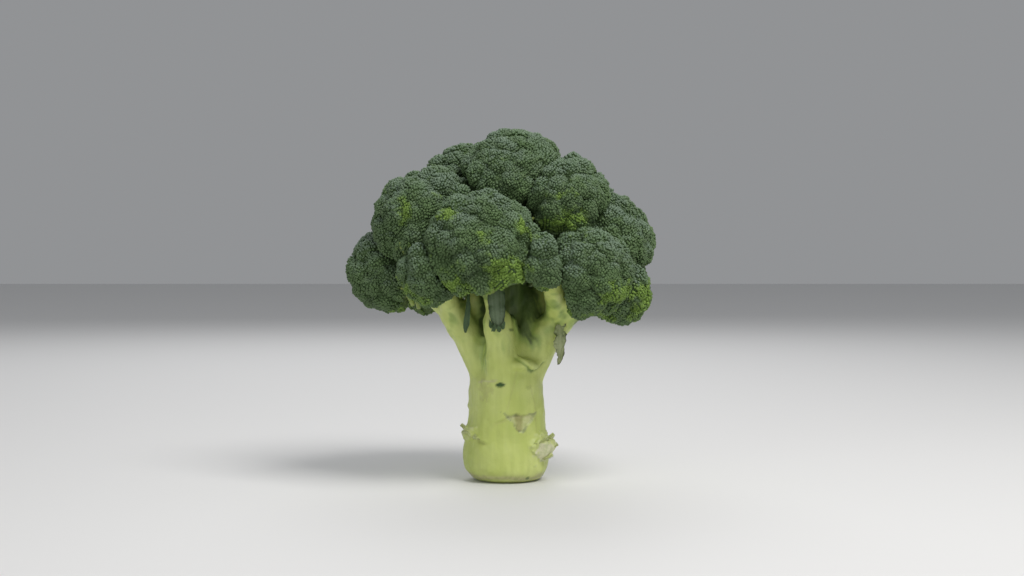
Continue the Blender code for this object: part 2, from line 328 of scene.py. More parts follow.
def fibres_group():
    """Long streaks up the stalk: a noise squeezed sideways and drawn out along Z, 0 to 1."""
    tree, start, end, place = mask_group("fibres", {"Scale": 300.0, "Length": 0.06},
                                         {"Streaks": 0.0})
    drawn = add(tree, "ShaderNodeCombineXYZ", X=1.0, Y=1.0, Z=start.outputs["Length"]).outputs[0]
    long = add(tree, "ShaderNodeVectorMath", {"operation": "MULTIPLY"})
    tree.links.new(place, long.inputs[0])
    tree.links.new(drawn, long.inputs[1])
    noise = add(tree, "ShaderNodeTexNoise", Vector=long.outputs[0], Scale=start.outputs["Scale"],
                Detail=2.0, Roughness=0.5)
    tree.links.new(steps(tree, noise.outputs["Fac"], 0.32, 0.68), end.inputs["Streaks"])
    return tree


BLOTCHES = blotches_group()
FIBRES = fibres_group()


def place_group(tree, group, **inputs):
    """A node that uses a shared mask with its own values."""
    node = tree.nodes.new("ShaderNodeGroup")
    node.node_tree = group
    for key, value in inputs.items():
        node.inputs[key.replace("_", " ")].default_value = value
    return node


def bare_material(name, roughness, specular, broad, fine):
    """A material, its tree and shader, and blotches at two scales to mix its colours by."""
    made = bpy.data.materials.new(name)
    made.use_nodes = True
    tree = made.node_tree
    shader = tree.nodes["Principled BSDF"]
    shader.inputs["Roughness"].default_value = roughness
    shader.inputs["Specular IOR Level"].default_value = specular
    masks = place_group(tree, BLOTCHES, Broad_Scale=broad, Fine_Scale=fine)
    return made, tree, shader, masks.outputs["Broad"], masks.outputs["Fine"]


def layered(tree, body, *coats):
    """A colour under coats: each is a mask and the colour that shows where the mask is 1."""
    for mask, colour in coats:
        body = mix_colours(tree, mask, body, colour)
    return body


def colour_and_grain(tree, shader, colour, height, strength, distance):
    """Gives a shader its colour, and small bumps from a height, distance metres deep."""
    tree.links.new(colour, shader.inputs["Base Color"])
    grain = add(tree, "ShaderNodeBump", Height=height, Strength=strength, Distance=distance)
    tree.links.new(grain.outputs[0], shader.inputs["Normal"])


print("masks:", BLOTCHES.name, FIBRES.name)

# %% [markdown]
# ### Buds
#
# A closed bud is painted darker green low down, as painted shade where its neighbours shade it,
# and paler at its tip. Buds that face upwards are painted a paler bluish grey: partly a grey wax,
# partly painted light from above. Low on a floret some stay yellow-green. The mesh carries, for
# each bud, its own tint, the wax and top light, the yellow and a painted shade for how deep in a
# crevice and how hidden from the sky it sits, and for each point its height along the bud.

# %% Bud material
def bud_material():
    """A bud's greens from base to tip, under wax, yellow and painted shade and top light."""
    made, tree, shader, broad, fine = bare_material("buds", 0.62, 0.35, 70.0, 900.0)
    tip, tint = attribute(tree, "tip"), attribute(tree, "tint")
    base = mix_colours(tree, tint, (0.060, 0.108, 0.042), (0.086, 0.140, 0.060))
    top = mix_colours(tree, tint, (0.070, 0.119, 0.048), (0.102, 0.157, 0.068))
    # painted light: a pale bluish grey for upward-facing buds, partly real wax, partly light from
    # above
    wax_and_top_light = mix_colours(tree, tint, (0.126, 0.184, 0.128), (0.178, 0.240, 0.178))
    top = mix_colours(tree, attribute(tree, "wax_and_top_light"), top, wax_and_top_light)
    fresh = mix_colours(tree, tint, (0.115, 0.200, 0.024), (0.200, 0.320, 0.054))
    # painted shade: each bud's colour runs from a darker base, shaded by its neighbours, to its tip
    body = layered(tree, base, (steps(tree, tip, 0.35, 0.95), top),
                   (steps(tree, broad, 0, 1, 0, 0.35), (0.105, 0.185, 0.055)),
                   (steps(tree, attribute(tree, "yellow"), 0, 1, 0, 0.92), fresh),
                   # painted shade: a darker coat low on each bud, then a dark coat by crevice depth
                   # and hidden sky
                   (steps(tree, tip, 0.0, 0.50, 0.40, 0.0), (0.042, 0.080, 0.026)),
                   (steps(tree, attribute(tree, "shade"), 0, 1, 0, 0.55), (0.030, 0.058, 0.016)))
    colour_and_grain(tree, shader, body, fine, 0.15, 0.0002)
    return made


def core_material():
    """The dark green tissue between buds, partly painted shade, and paler under the floret."""
    made, tree, shader, broad, fine = bare_material("bud_core", 0.75, 0.3, 120.0, 900.0)
    # partly painted shade: the core is kept dark green where it shows between buds
    top = mix_colours(tree, broad, (0.056, 0.098, 0.034), (0.070, 0.120, 0.042))
    below = mix_colours(tree, fine, (0.070, 0.115, 0.030), (0.120, 0.175, 0.055))
    body = mix_colours(tree, attribute(tree, "under"), top, below)
    colour_and_grain(tree, shader, body, fine, 0.4, 0.0004)
    return made


BUDS = bud_material()
CORE = core_material()

# %% [markdown]
# ### Stalk, pedicels and leaves
#
# The stalk's skin is smooth, waxy and yellow-green, with faint fibres up it. It is a fresher green
# in patches. Deep in the forks and on the limb left of the bract it is painted a dull olive and
# darker, as painted shade. Where leaves were cut or pulled off the scars are tan, the torn flesh
# is nearly white, and the smallest folds are dark green, partly painted shade; a dark line under
# the bract's foot is a painted shadow. The mesh carries the strength of each: green (fresher green
# and painted shade), tan, flesh and dark (dark marks, painted shade and shadow).

# %% Stalk material
def stalk_material():
    """Streaked greens and painted olive shade, then corky tan, torn flesh and dark folds and shade.
    """
    made, tree, shader, broad, fine = bare_material("stalk_skin", 0.42, 0.5, 45.0, 420.0)
    streaks = place_group(tree, FIBRES, Scale=300.0, Length=0.07).outputs["Streaks"]
    pale = mix_colours(tree, broad, (0.500, 0.580, 0.145), (0.590, 0.660, 0.220))
    green = attribute(tree, "green")
    fresh = mix_colours(tree, streaks, (0.250, 0.370, 0.075), (0.340, 0.460, 0.115))
    # olive: painted shade deep in the forks and on the recessed limb, and the strongest green
    # patches
    olive_and_shade = mix_colours(tree, streaks, (0.080, 0.125, 0.030), (0.170, 0.235, 0.065))
    corky = steps(tree, fine, 0, 1, 0.3, 0.8)
    tan = mix_colours(tree, corky, (0.260, 0.265, 0.078), (0.430, 0.410, 0.180))
    flesh = mix_colours(tree, fine, (0.520, 0.560, 0.290), (0.700, 0.690, 0.460))
    body = layered(tree, pale, (steps(tree, streaks, 0, 1, 0, 0.30), (0.400, 0.480, 0.105)),
                   (steps(tree, green, 0.0, 0.5, 0.0, 0.75), fresh),
                   (steps(tree, green, 0.40, 1.0), olive_and_shade), (attribute(tree, "tan"), tan),
                   (attribute(tree, "flesh"), flesh),
                   # dark: dark marks, painted shade in folds and forks, and a painted shadow under
                   # the bract's foot
                   (attribute(tree, "dark"), (0.032, 0.086, 0.010)))
    tree.links.new(body, shader.inputs["Base Color"])
    lumps = add(tree, "ShaderNodeBump", Height=fine, Strength=0.18, Distance=0.0005)
    lines = add(tree, "ShaderNodeBump", Height=streaks, Strength=0.14, Distance=0.0005,
                Normal=lumps.outputs[0])
    tree.links.new(lines.outputs[0], shader.inputs["Normal"])
    tree.links.new(steps(tree, fine, 0, 1, 0.34, 0.50), shader.inputs["Roughness"])
    return made


def pedicel_material():
    """Thin stems: pale green at the twig and darker under the buds, as the mesh says."""
    made, tree, shader, broad, fine = bare_material("pedicel", 0.5, 0.4, 150.0, 700.0)
    pale = mix_colours(tree, broad, (0.240, 0.330, 0.075), (0.360, 0.440, 0.125))
    body = mix_colours(tree, attribute(tree, "green"), pale, (0.085, 0.140, 0.030))
    colour_and_grain(tree, shader, body, fine, 0.2, 0.0003)
    return made


def leaf_material(name, dark, light, vein, edge):
    """A blade between two greens, with paler veins and a browned edge where the mesh says."""
    made, tree, shader, broad, fine = bare_material(name, 0.55, 0.4, 220.0, 900.0)
    body = layered(tree, mix_colours(tree, broad, dark, light),
                   (attribute(tree, "vein"), vein), (attribute(tree, "edge"), edge))
    colour_and_grain(tree, shader, body, fine, 0.3, 0.0003)
    return made


STALK_SKIN = stalk_material()
PEDICEL = pedicel_material()
BRACT = leaf_material("bract_blade", (0.075, 0.120, 0.052), (0.120, 0.172, 0.090),
                      (0.165, 0.225, 0.135), (0.034, 0.062, 0.024))
YOUNG_LEAF = leaf_material("young_leaf", (0.024, 0.060, 0.020), (0.050, 0.100, 0.036),
                           (0.090, 0.150, 0.060), (0.120, 0.190, 0.070))
DRY_LEAF = leaf_material("dry_leaf", (0.280, 0.335, 0.145), (0.410, 0.455, 0.235),
                         (0.470, 0.505, 0.295), (0.060, 0.070, 0.028))
TORN_SKIN = leaf_material("torn_skin", (0.380, 0.450, 0.150), (0.560, 0.600, 0.300),
                          (0.640, 0.660, 0.420), (0.330, 0.360, 0.130))

# %% [markdown]
# ## The stalk
#
# The fixed model's stalk is a union of straight tapering tubes. A living stalk has no creases: at
# every fork the skin runs over in a web. A copy is remeshed on a fine grid and melted by letting
# each point move towards the mean of its neighbours, again and again. The points are then moved
# along their normals, with long shallow ribs and the marks that each stalk has.

# %% Solid of a node as arrays
def triangles_of(mesh):
    """A mesh's points, and the three point numbers of each of its triangles."""
    mesh.calc_loop_triangles()
    points = np.empty(len(mesh.vertices) * 3)
    mesh.vertices.foreach_get("co", points)
    faces = np.empty(len(mesh.loop_triangles) * 3, np.int32)
    mesh.loop_triangles.foreach_get("vertices", faces)
    return points.reshape(-1, 3), faces.reshape(-1, 3)


def node_arrays(node):
    """The triangles of a fixed solid: their corners, outward normals, middles and areas."""
    points, faces = triangles_of(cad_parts[node].data)
    corners = points[faces]
    normals = np.cross(corners[:, 1] - corners[:, 0], corners[:, 2] - corners[:, 0])
    sizes = np.linalg.norm(normals, axis=1)
    keep = sizes > 1e-12
    corners, normals = corners[keep], normals[keep] / sizes[keep, None]
    return corners, normals, corners.mean(1), sizes[keep] / 2


def melted_copy(node, name, grain, rounds, growth):
    """A node and some growth on it as one skin, remeshed on a grid and smoothed by rounds."""
    corners = node_arrays(node)[0].reshape(-1, 3)
    spots, places = np.unique(corners.round(7), axis=0, return_inverse=True)
    points, faces, _ = growth
    faces = np.concatenate([places.reshape(-1, 3), faces + len(spots)])
    made = make_piece(name, STALK_SKIN, np.concatenate([spots, points]), faces)
    mesh = made.data
    remesh = made.modifiers.new("remesh", "REMESH")
    remesh.mode = "VOXEL"
    remesh.voxel_size = grain
    smooth = made.modifiers.new("smooth", "SMOOTH")
    smooth.factor = 0.5
    smooth.iterations = rounds
    depsgraph = bpy.context.evaluated_depsgraph_get()
    baked = bpy.data.meshes.new_from_object(made.evaluated_get(depsgraph))
    bpy.data.objects.remove(made)
    bpy.data.meshes.remove(mesh)
    points, faces = triangles_of(baked)
    normals = np.empty(len(baked.vertices) * 3)
    baked.vertices.foreach_get("normal", normals)
    bpy.data.meshes.remove(baked)
    return points, normals.reshape(-1, 3), faces


def tube_part(path, radii, green, sides=8):
    """A round tube along path: rings at right angles to it, closed by a point at each end."""
    count = len(path)
    along = unit(np.gradient(path, axis=0))
    first = unit(np.cross(along, unit(along.mean(0) + np.array([0.31, 0.47, 0.11]))[None]))
    second = np.cross(along, first)
    turn = np.arange(sides) * 2 * np.pi / sides
    rings = (path[:, None] + radii[:, None, None] * (np.cos(turn)[None, :, None] * first[:, None]
             + np.sin(turn)[None, :, None] * second[:, None]))
    points, faces = closed_rings(rings)
    tones = np.concatenate([np.repeat(green, sides), green[:1], green[-1:]])
    return points, faces, {"green": tones}


def plug_part(start, end, first, last, sides=14):
    """A rounded rod: circles along a straight line whose radius falls to nothing at both ends.

    radius = (first to last) x sqrt(1 - (2t - 1)^6), closed by a point at each end.
    """
    t = np.linspace(0.004, 0.996, 18)
    path = np.array(start) * (1 - t[:, None]) + np.array(end) * t[:, None]
    radii = (first + (last - first) * t) * np.sqrt(1 - (2 * t - 1) ** 6)
    return tube_part(path * MM, radii * MM, t, sides)


# young limbs and webs of skin between the forks: start, end, first radius, last radius, in mm
GROWTH = [((0, 2, 44), (0, 1, 73), 16.0, 12.0), ((5, -9, 44), (12, 4, 96), 10.5, 6.0),
          ((-3, -10, 44), (-9, -2, 80), 9.0, 5.0), ((-8, 1, 52), (-17, -3, 98), 6.5, 5.0),
          ((3, 3, 52), (8, 4, 100), 6.0, 4.2), ((8, 4, 52), (17, 5, 98), 7.0, 6.4),
          ((0, 10, 52), (-4, 14, 96), 6.0, 4.0), ((-3, 4, 52), (-9, 2, 98), 6.0, 4.2),
          ((2, -8, 46), (2, -12, 84), 7.5, 3.5)]
stalk_points, stalk_normals, stalk_faces = melted_copy(
    "stalk", "stalk_copy", SKIN_GRAIN, 34, joined([plug_part(*rod) for rod in GROWTH]))
print("stalk melted:", len(stalk_faces), "triangles")

# %% [markdown]
# ### Marks of cut leaves
#
# A broccoli stalk bears its leaves on a loose spiral, and all were cut or pulled off. Each left
# a mark: a ragged triangle with a corky middle under a lip, a collar of torn skin, a slit with a
# dormant bud. They are worked out on the unrolled skin, in millimetres round it from the front and
# up it. The same values that colour a mark move its points in or out.

# %% Unrolled skin
SKIN_RADIUS = 20.0           # millimetres round the skin are counted at this radius
around = np.arctan2(stalk_points[:, 0], -stalk_points[:, 1]) * SKIN_RADIUS
up = stalk_points[:, 2] / MM
reach = np.hypot(stalk_points[:, 0], stalk_points[:, 1]) / MM


def skin_noise(*how):
    """Unevenness where the skin's points are at the time, before or after they are moved."""
    return uneven(stalk_points, *how)


def away(place, rise, wide, tall):
    """How far each point is from a place round and up the skin: 1 on an oval of this size."""
    return np.hypot((around - place) / wide, (up - rise) / tall)


def spot(place, rise, wide, tall, ragged=0.25, seed=31):
    """1 inside an uneven oval, easing to 0 outside it."""
    gap = away(place, rise, wide, tall)
    return 1 - ease(0.75, 1.15, gap + ragged * skin_noise(0.005, seed))


def seam(rises, places, *patch):
    """A thin line up the skin through these places at these rises, inside an oval patch."""
    return np.exp(-((around - np.interp(up, rises, places)) / 0.45) ** 2) * spot(*patch, 0)


def above_line(nodes, start, end):
    """Height over a line drawn round the skin, and 1 along its length easing to 0 past its ends.

    The line runs through (place, rise) nodes.
    """
    place, rise = np.array(nodes, float).T
    length = ease(start - 1.5, start + 1.5, around) * (1 - ease(end - 1.5, end + 1.5, around))
    return up - np.interp(around, place, rise), length


def lip(nodes, height, depth, fade=4.0):
    """A fold of skin: full height just over a line, fading upwards, and a groove under it.

    Returns how far it moves the skin in millimetres, and how dark the groove is.
    """
    over, length = above_line(nodes, nodes[0][0], nodes[-1][0])
    raised = height * ease(-0.5, 0.5, over) * np.exp(-np.maximum(over, 0) / fade)
    groove = np.exp(-((over + 0.9) / 0.7) ** 2)
    return (raised - depth * groove) * length, groove * length


# %% Where the marks are
shake = skin_noise(0.0045, 33)
LIPS = (([(4.5, 63), (8, 60.5), (12, 56.8), (15, 56.0), (18, 57.5), (21, 60.5)], 1.3, 0.4),
        ([(-30, 25.8), (-24, 25), (-19, 23), (-14, 21), (-11.5, 20.6)], 1.1, 0.6),
        ([(-6, 30.6), (-2, 32.2), (2, 34.2), (9, 34.6), (15, 33.6), (17.5, 32.2)], 0.45, 0.25),
        ([(-52, 36), (-44, 33), (-38, 33.5), (-32, 37)], 1.2, 0.6),
        ([(38, 42), (44, 38.5), (50, 38), (57, 41)], 1.3, 0.6))
lips = [lip(*fold) for fold in LIPS]
SCAR_TOP, SCAR_TIP, SCAR_MIDDLE = 34.4, 25.8, 7.0
slope = (up - 24.6) * np.where(around < SCAR_MIDDLE, 0.80, 1.15) - np.abs(around - SCAR_MIDDLE)
inside = np.minimum(np.minimum(SCAR_TOP - up, up - SCAR_TIP), slope)
triangle = ease(-0.7, 0.7, inside + shake)
cork = triangle * (1 - ease(1.0, 2.8, np.abs(around - 6.4 + 0.8 * shake)))
rim = 1 - ease(0.4, 1.3, inside)
slit = spot(-3.8, 49.0 + 0.10 * (around + 3.8), 2.9, 1.15, 0.20)
left_patch = spot(-12.5, 46.5, 4.6, 5.2, 0.5)
left_line = (up - 50.5 - 0.10 * (around + 12) + 0.4 * shake) / 0.5
left_lines = np.exp(-left_line ** 2) * spot(-11, 50, 7, 3, 0)
left_tear = spot(-24.0, 23.5, 7.0, 3.4, 0.4)
right_tear = spot(22.0, 17.0, 8.0, 7.6, 0.35)
right_white = spot(20.0, 15.5, 4.2, 4.6, 0.45, 35)
back_scar = spot(55.0, 33.0, 6.0, 3.5, 0.4)
foot_rim = np.exp(-((up - 2.8 - 0.7 * skin_noise(0.012, 36)) / 1.3) ** 2)
brown_dot = 0.22 * spot(12.4, 47.4, 1.6, 1.0, 0.4) + 0.9 * spot(11.5, 2.6, 1.3, 0.9, 0.3)
seams = seam([18, 36, 50, 58], [-2, 0, 4, 6], 1, 47, 8, 11)
seams += seam([22, 40, 50], [17, 17.5, 13], 16, 38, 6, 13)
print("points in the triangle, slit and torn places:",
      [int((mask > 0.5).sum()) for mask in (triangle, slit, left_tear, right_tear)])

# %% Their shape
RIBS = 7
ribs = np.sin(around / SKIN_RADIUS * RIBS + 2 * skin_noise(0.05, 5))
crumples = 0.6 + 0.6 * skin_noise(0.0062, 37, 2)
left_fork = np.exp(-((around + 14.5) / 4.2) ** 2) * ease(60, 72, up) * (1 - ease(92, 99, up))
move = 0.60 * skin_noise(0.024, 11) + 0.10 * skin_noise(0.006, 12)
move += 0.14 * ribs * ease(6, 26, up)
move += 1.7 * np.exp(-away(-32, 12, 15, 9) ** 2)
move += sum(raised for raised, _ in lips)
move += 1.3 * np.maximum(left_tear, right_tear) * crumples
move += 0.2 * right_tear * skin_noise(0.0030, 38, 2)
move -= 0.9 * triangle * ease(-2.5, 1.5, slope) + 0.7 * slit + 0.35 * left_patch * (0.5 + shake)
move -= 0.20 * seams + 3.2 * left_fork
standing = ease(0.5, 5.0, up)
stalk_points = stalk_points + stalk_normals * (move * standing * MM)[:, None]
stalk_points[:, 2] = np.maximum(stalk_points[:, 2], 0.0)
print("skin moved, mm: %.1f in to %.1f out" % (-move.min(), move.max()))

# %% Their colour
streaked = 1 + 0.5 * np.sin(around * 2.6 + 2.5 * skin_noise(0.02, 42))


def haze(strength, place, rise, wide, tall):
    """A soft patch: a bell curve of the distance from a place, streaked up the skin."""
    return strength * np.exp(-1.6 * away(place, rise, wide, tall) ** 2) * streaked


# fresher green patches; the one at -14.5 round and 78 up is painted shade, a recess left of the
# bract
GREEN_AND_SHADE_HAZES = ((0.46, -13.5, 62, 4.6, 9.0), (0.20, -1, 68, 5, 6), (0.40, 27, 80, 6, 6),
               (0.65, -14.5, 78, 4.6, 15), (0.40, 17, 72, 3.6, 9.0), (0.40, 25, 89, 8, 8))
# painted shade: near the middle and high up, deep in the forks, the skin is painted olive and darker
painted_fork_shade = (1 - ease(11, 19, reach)) * ease(66, 74, up)
patchy = ease(-0.4, 0.8, skin_noise(0.010, 22))
green = 0.55 * ease(66, 86, up + 5 * skin_noise(0.012, 21)) * patchy
green += 0.85 * painted_fork_shade + sum(haze(*patch) for patch in GREEN_AND_SHADE_HAZES)
# painted shade: the groove under the first lip is painted olive
green += 0.12 * ease(0.2, 1.0, skin_noise(0.022, 23)) + 0.5 * lips[0][1]
tan = 0.30 * triangle + 0.62 * cork + 0.30 * left_patch + 0.55 * left_lines
tan += 0.85 * foot_rim + 0.25 * seams + 0.5 * back_scar + 0.30 * sum(dark for _, dark in lips[1:])
flesh = 0.40 * (triangle - cork) + 0.95 * right_white + 0.30 * right_tear + 0.35 * left_lines
flesh += 0.45 * left_tear * ease(-0.2, 0.5, shake)
flesh += 0.5 * (1 - ease(0.0, 0.5, up)) + 0.25 * foot_rim
dark = slit + 0.50 * triangle * rim * ease(-0.6, 0.5, shake) + 0.8 * brown_dot
# painted shadow: a dark line under the bract's foot; painted shade in the groove under the first lip
dark += 0.7 * spot(2.4, 76.2, 2.2, 0.7, 0.3) + 0.55 * lips[0][1] * ease(6, 14, around)
# painted shade: darker deep in the forks
dark += 0.35 * painted_fork_shade * ease(72, 90, up)
shades = {"green": green, "tan": tan, "flesh": flesh, "dark": dark}
stalk = make_piece("stalk_skin", STALK_SKIN, stalk_points, stalk_faces,
                   {key: np.clip(value, 0, 1) for key, value in shades.items()})
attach(stalk, "root")
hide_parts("stalk")

# %% [markdown]
# ## A floret's form
#
# The fixed solid of a floret is a bulging shape with flat cuts where it meets its neighbours.
# Seen from a middle point, a bulging solid is one number for each direction: the smallest distance
# at which a ray leaves any of its faces. That number can be blurred over directions, which rounds
# the cuts, and then added to: lobes and knobs are the gap to the nearest of many scattered seeds.

# %% Reading the fixed solid
def tree_of(corners):
    """A search tree over loose triangles, for nearest places and for rays."""
    return BVHTree.FromPolygons([tuple(p) for p in corners.reshape(-1, 3)],
                                [(3 * k, 3 * k + 1, 3 * k + 2) for k in range(len(corners))])


stalk_tree = tree_of(node_arrays("stalk")[0])
ALL_SOLIDS = tree_of(np.concatenate([node_arrays(node)[0] for node in FLORETS]))


def foot_of(node):
    """The middle of the flat where a floret meets its twig: its points nearest the stalk."""
    spots = np.unique(node_arrays(node)[0].reshape(-1, 3).round(6), axis=0)
    gaps = np.array([stalk_tree.find_nearest(Vector(spot))[3] for spot in spots])
    return spots[gaps < gaps.min() + 0.15 * MM].mean(0)


def leaving_distance(directions, middle, normals, points):
    """How far a ray from middle runs in each direction before it leaves the solid.

    The least, over faces it heads out of, of (normal . (face - middle)) / (normal . direction),
    and which face that is.
    """
    offsets = ((points - middle) * normals).sum(1)
    slopes = directions @ normals.T
    reach = np.where(slopes > 1e-6, offsets / np.maximum(slopes, 1e-6), np.inf)
    return reach.min(1), reach.argmin(1)


def nearest_seed(directions, seeds):
    """The angle from each direction to its nearest seed, and which seed that is."""
    cosine = directions @ seeds.T
    which = cosine.argmax(1)
    return np.arccos(np.clip(cosine[np.arange(len(which)), which], -1, 1)), which


class Form:
    """A floret's outer form as a function of direction, read from its fixed solid."""

    BLUR = np.radians(6.5)

    def __init__(self, node, seed):
        corners, self.normals, self.points, areas = node_arrays(node)
        self.middle = (self.points * areas[:, None]).sum(0) / areas.sum()
        self.foot = foot_of(node)
        self.axis = unit(self.middle - self.foot)
        self.rng = np.random.default_rng(seed)
        self.seed = seed
        self.samples = spiral(1100)
        self.lengths = self.leaving(self.samples)[0]
        self.radius = np.quantile(self.lengths, 0.85)
        self.lobes = self.scattered(LOBE_PITCH)
        self.lobe_lift = self.rng.uniform(-0.8, 1.0, len(self.lobes))
        self.knobs = self.scattered(KNOB_PITCH)
        self.knob_lift = self.rng.uniform(-0.6, 0.6, len(self.knobs))
        self.first, self.second = (v[0] for v in sideways(self.axis[None]))
        self.read_rim()

    def leaving(self, directions):
        """The leaving distance from this floret's middle, and the face it is on."""
        return leaving_distance(directions, self.middle, self.normals, self.points)

    def scattered(self, pitch):
        """Seeds about a pitch apart over the whole ball of directions, shaken off their spiral."""
        count = max(int(4 * np.pi * self.radius ** 2 / (0.87 * pitch ** 2)), 8)
        seeds = spiral(count) + self.rng.normal(size=(count, 3)) * 0.30 * pitch / self.radius
        return unit(seeds)

    def angles(self, directions):
        """Each direction's angle from the floret's axis, and its turn about the axis."""
        tilt = np.arccos(np.clip(directions @ self.axis, -1, 1))
        return tilt, np.arctan2(directions @ self.second, directions @ self.first)

    def towards(self, tilt, turn):
        """The direction with this angle from the axis and this turn about it."""
        side = np.cos(turn)[:, None] * self.first + np.sin(turn)[:, None] * self.second
        return np.cos(tilt)[:, None] * self.axis + np.sin(tilt)[:, None] * side

    def read_rim(self):
        """Where the buds end: the tilt, at each turn, at which the solid starts to close below."""
        turns = np.linspace(-np.pi, np.pi, 72, endpoint=False)
        tilts = np.linspace(0.6, np.pi, 80)
        tilt, turn = (a.ravel() for a in np.meshgrid(tilts, turns, indexing="ij"))
        _, active = self.leaving(self.towards(tilt, turn))
        closing = (self.normals[active] @ self.axis < -0.80).reshape(80, 72)
        rim = np.where(closing.any(0), tilts[closing.argmax(0)], np.radians(150))
        rim = np.clip(rim, np.radians(80), np.radians(150))
        spectrum = np.fft.rfft(rim)
        spectrum[6:] = 0
        self.rim_turns, self.rim = turns, np.fft.irfft(spectrum, 72)

    def rim_at(self, turn):
        """The rim's tilt at any turn."""
        return np.interp(turn, self.rim_turns, self.rim, period=2 * np.pi)

    def soft(self, directions):
        """The leaving distance blurred over directions: a mean weighted by exp(-angle^2/2b^2)."""
        near = np.exp((directions @ self.samples.T - 1) / self.BLUR ** 2)
        return (near * self.lengths).sum(1) / near.sum(1)

    def height(self, directions):
        """Distance from the middle to the bud surface, and how deep in a crevice it is, 0 to 1."""
        base = self.soft(directions)
        shaken = unit(directions + 0.05 * np.stack(
            [uneven(directions, 0.5, self.seed + k, 2) for k in range(3)], 1))
        lobe_gap, lobe = nearest_seed(shaken, self.lobes)
        knob_gap, knob = nearest_seed(shaken, self.knobs)
        lobe_gap = lobe_gap * self.radius / (0.62 * LOBE_PITCH)
        knob_gap = knob_gap * self.radius / (0.62 * KNOB_PITCH)
        lobes = LOBE_HEIGHT * (0.55 - lobe_gap ** 2 + 0.35 * self.lobe_lift[lobe])
        knobs = KNOB_HEIGHT * (0.5 - knob_gap ** 2 + 0.5 * self.knob_lift[knob])
        crevice = ease(0.55, 1.25, lobe_gap) * 0.7 + ease(0.6, 1.2, knob_gap) * 0.3
        return base + lobes + knobs - 0.4 * MM, crevice

    def openness(self, directions):
        """The share of the sky that each place sees past the other florets, 0 to 1.

        Measured with 14 rays at each of 900 directions; a direction takes its nearest one's value.
        """
        coarse = spiral(900)
        lengths, _ = self.leaving(coarse)
        starts = self.middle + coarse * (lengths + 0.15 * MM)[:, None]
        rays = unit(coarse[:, None] + 0.95 * spiral(14)[None])
        seen = [[ALL_SOLIDS.ray_cast(Vector(start), Vector(ray), 0.014)[0] is None
                 for ray in bundle] for start, bundle in zip(starts, rays)]
        return np.mean(seen, axis=1)[(directions @ coarse.T).argmax(1)]

    def surface(self, directions):
        """Points on the bud surface, their normals and their crevice depth.

        The normal is the cross product of two short steps along the surface.
        """
        first, second = sideways(directions)
        step = 0.02
        heights, crevice = self.height(directions)
        beside, _ = self.height(unit(directions + first * step))
        above, _ = self.height(unit(directions + second * step))
        place = directions * heights[:, None]
        along = unit(directions + first * step) * beside[:, None] - place
        up = unit(directions + second * step) * above[:, None] - place
        normals = unit(np.cross(along, up))
        normals *= np.sign((normals * directions).sum(1))[:, None]
        return self.middle + place, unit(normals + 0.35 * directions), crevice


# %% [markdown]
# ### The dark core
#
# Between the buds a head looks nearly black-green. The buds stand on a closed dark green core that
# follows the same lobes a little lower down; its darkness is partly the tissue's own colour and
# partly painted shade. Below the rim the core turns inwards, so that the floret is hollow
# underneath and its pedicels show.

# %% Core
def core_part(form):
    """The core as a grid of tilt and turn, closed by a point at each pole.

    Its distance is the bud surface less the core's depth above the rim, and shrinks towards a
    share of it below the rim.
    """
    rows, columns = 60, 84
    tilts = np.linspace(0.02, np.pi - 0.02, rows)
    turns = np.linspace(-np.pi, np.pi, columns, endpoint=False)
    tilt, turn = (a.ravel() for a in np.meshgrid(tilts, turns, indexing="ij"))
    directions = form.towards(tilt, turn)
    heights, _ = form.height(directions)
    past = tilt - form.rim_at(turn)
    under = ease(-0.10, 0.25, past)
    hollow = 1 - 0.42 * ease(-0.05, 0.75, past)
    ends = form.middle + directions * ((heights - CORE_DEPTH) * hollow)[:, None]
    points, faces = closed_rings(ends.reshape(rows, columns, 3), True)
    return points, faces, {"under": np.concatenate([under, [0.0, 1.0]])}


# %% [markdown]
# ### Buds
#
# One bud is a small pointed egg of 20 points, drawn in between the sepals that wrap it. It could
# be one mesh shown many times, but each floret should be one real mesh, so all of its buds are
# worked out at once: every bud is the same egg, carried into its own three axes.

# %% Buds
BUD_AROUND = 6


def bud_egg():
    """Points, faces and height share of one bud, about 1 wide and 1 high.

    A ring at share h of the height has an egg's radius, widest a little above its base and drawn
    in towards the tip, times 1 + k cos(3 turn): the sepals stand out most near the tip.
    """
    radii = np.array([0.40, 0.54, 0.34])
    turn = np.arange(BUD_AROUND) * 2 * np.pi / BUD_AROUND
    sepals = 1 + np.array([0.02, 0.05, 0.16])[:, None] * np.cos(3 * turn)
    high = np.repeat(np.array([[-0.36], [0.04], [0.40]]), BUD_AROUND, 1)
    wide = sepals * radii[:, None]
    ring = np.stack([np.cos(turn) * wide, np.sin(turn) * wide, high], -1).reshape(-1, 3)
    count = len(ring)
    points = np.concatenate([ring, [[0, 0, 0.60], [0, 0, -0.50]]])
    tip = fan(2 * BUD_AROUND, BUD_AROUND, count)
    base = fan(0, BUD_AROUND, count + 1, True)
    share = np.concatenate([np.repeat([0.1, 0.5, 0.85], BUD_AROUND), [1.0, 0.0]])
    return points, np.concatenate([ring_faces(3, BUD_AROUND), tip, base]), share


EGG, EGG_FACES, EGG_SHARE = bud_egg()


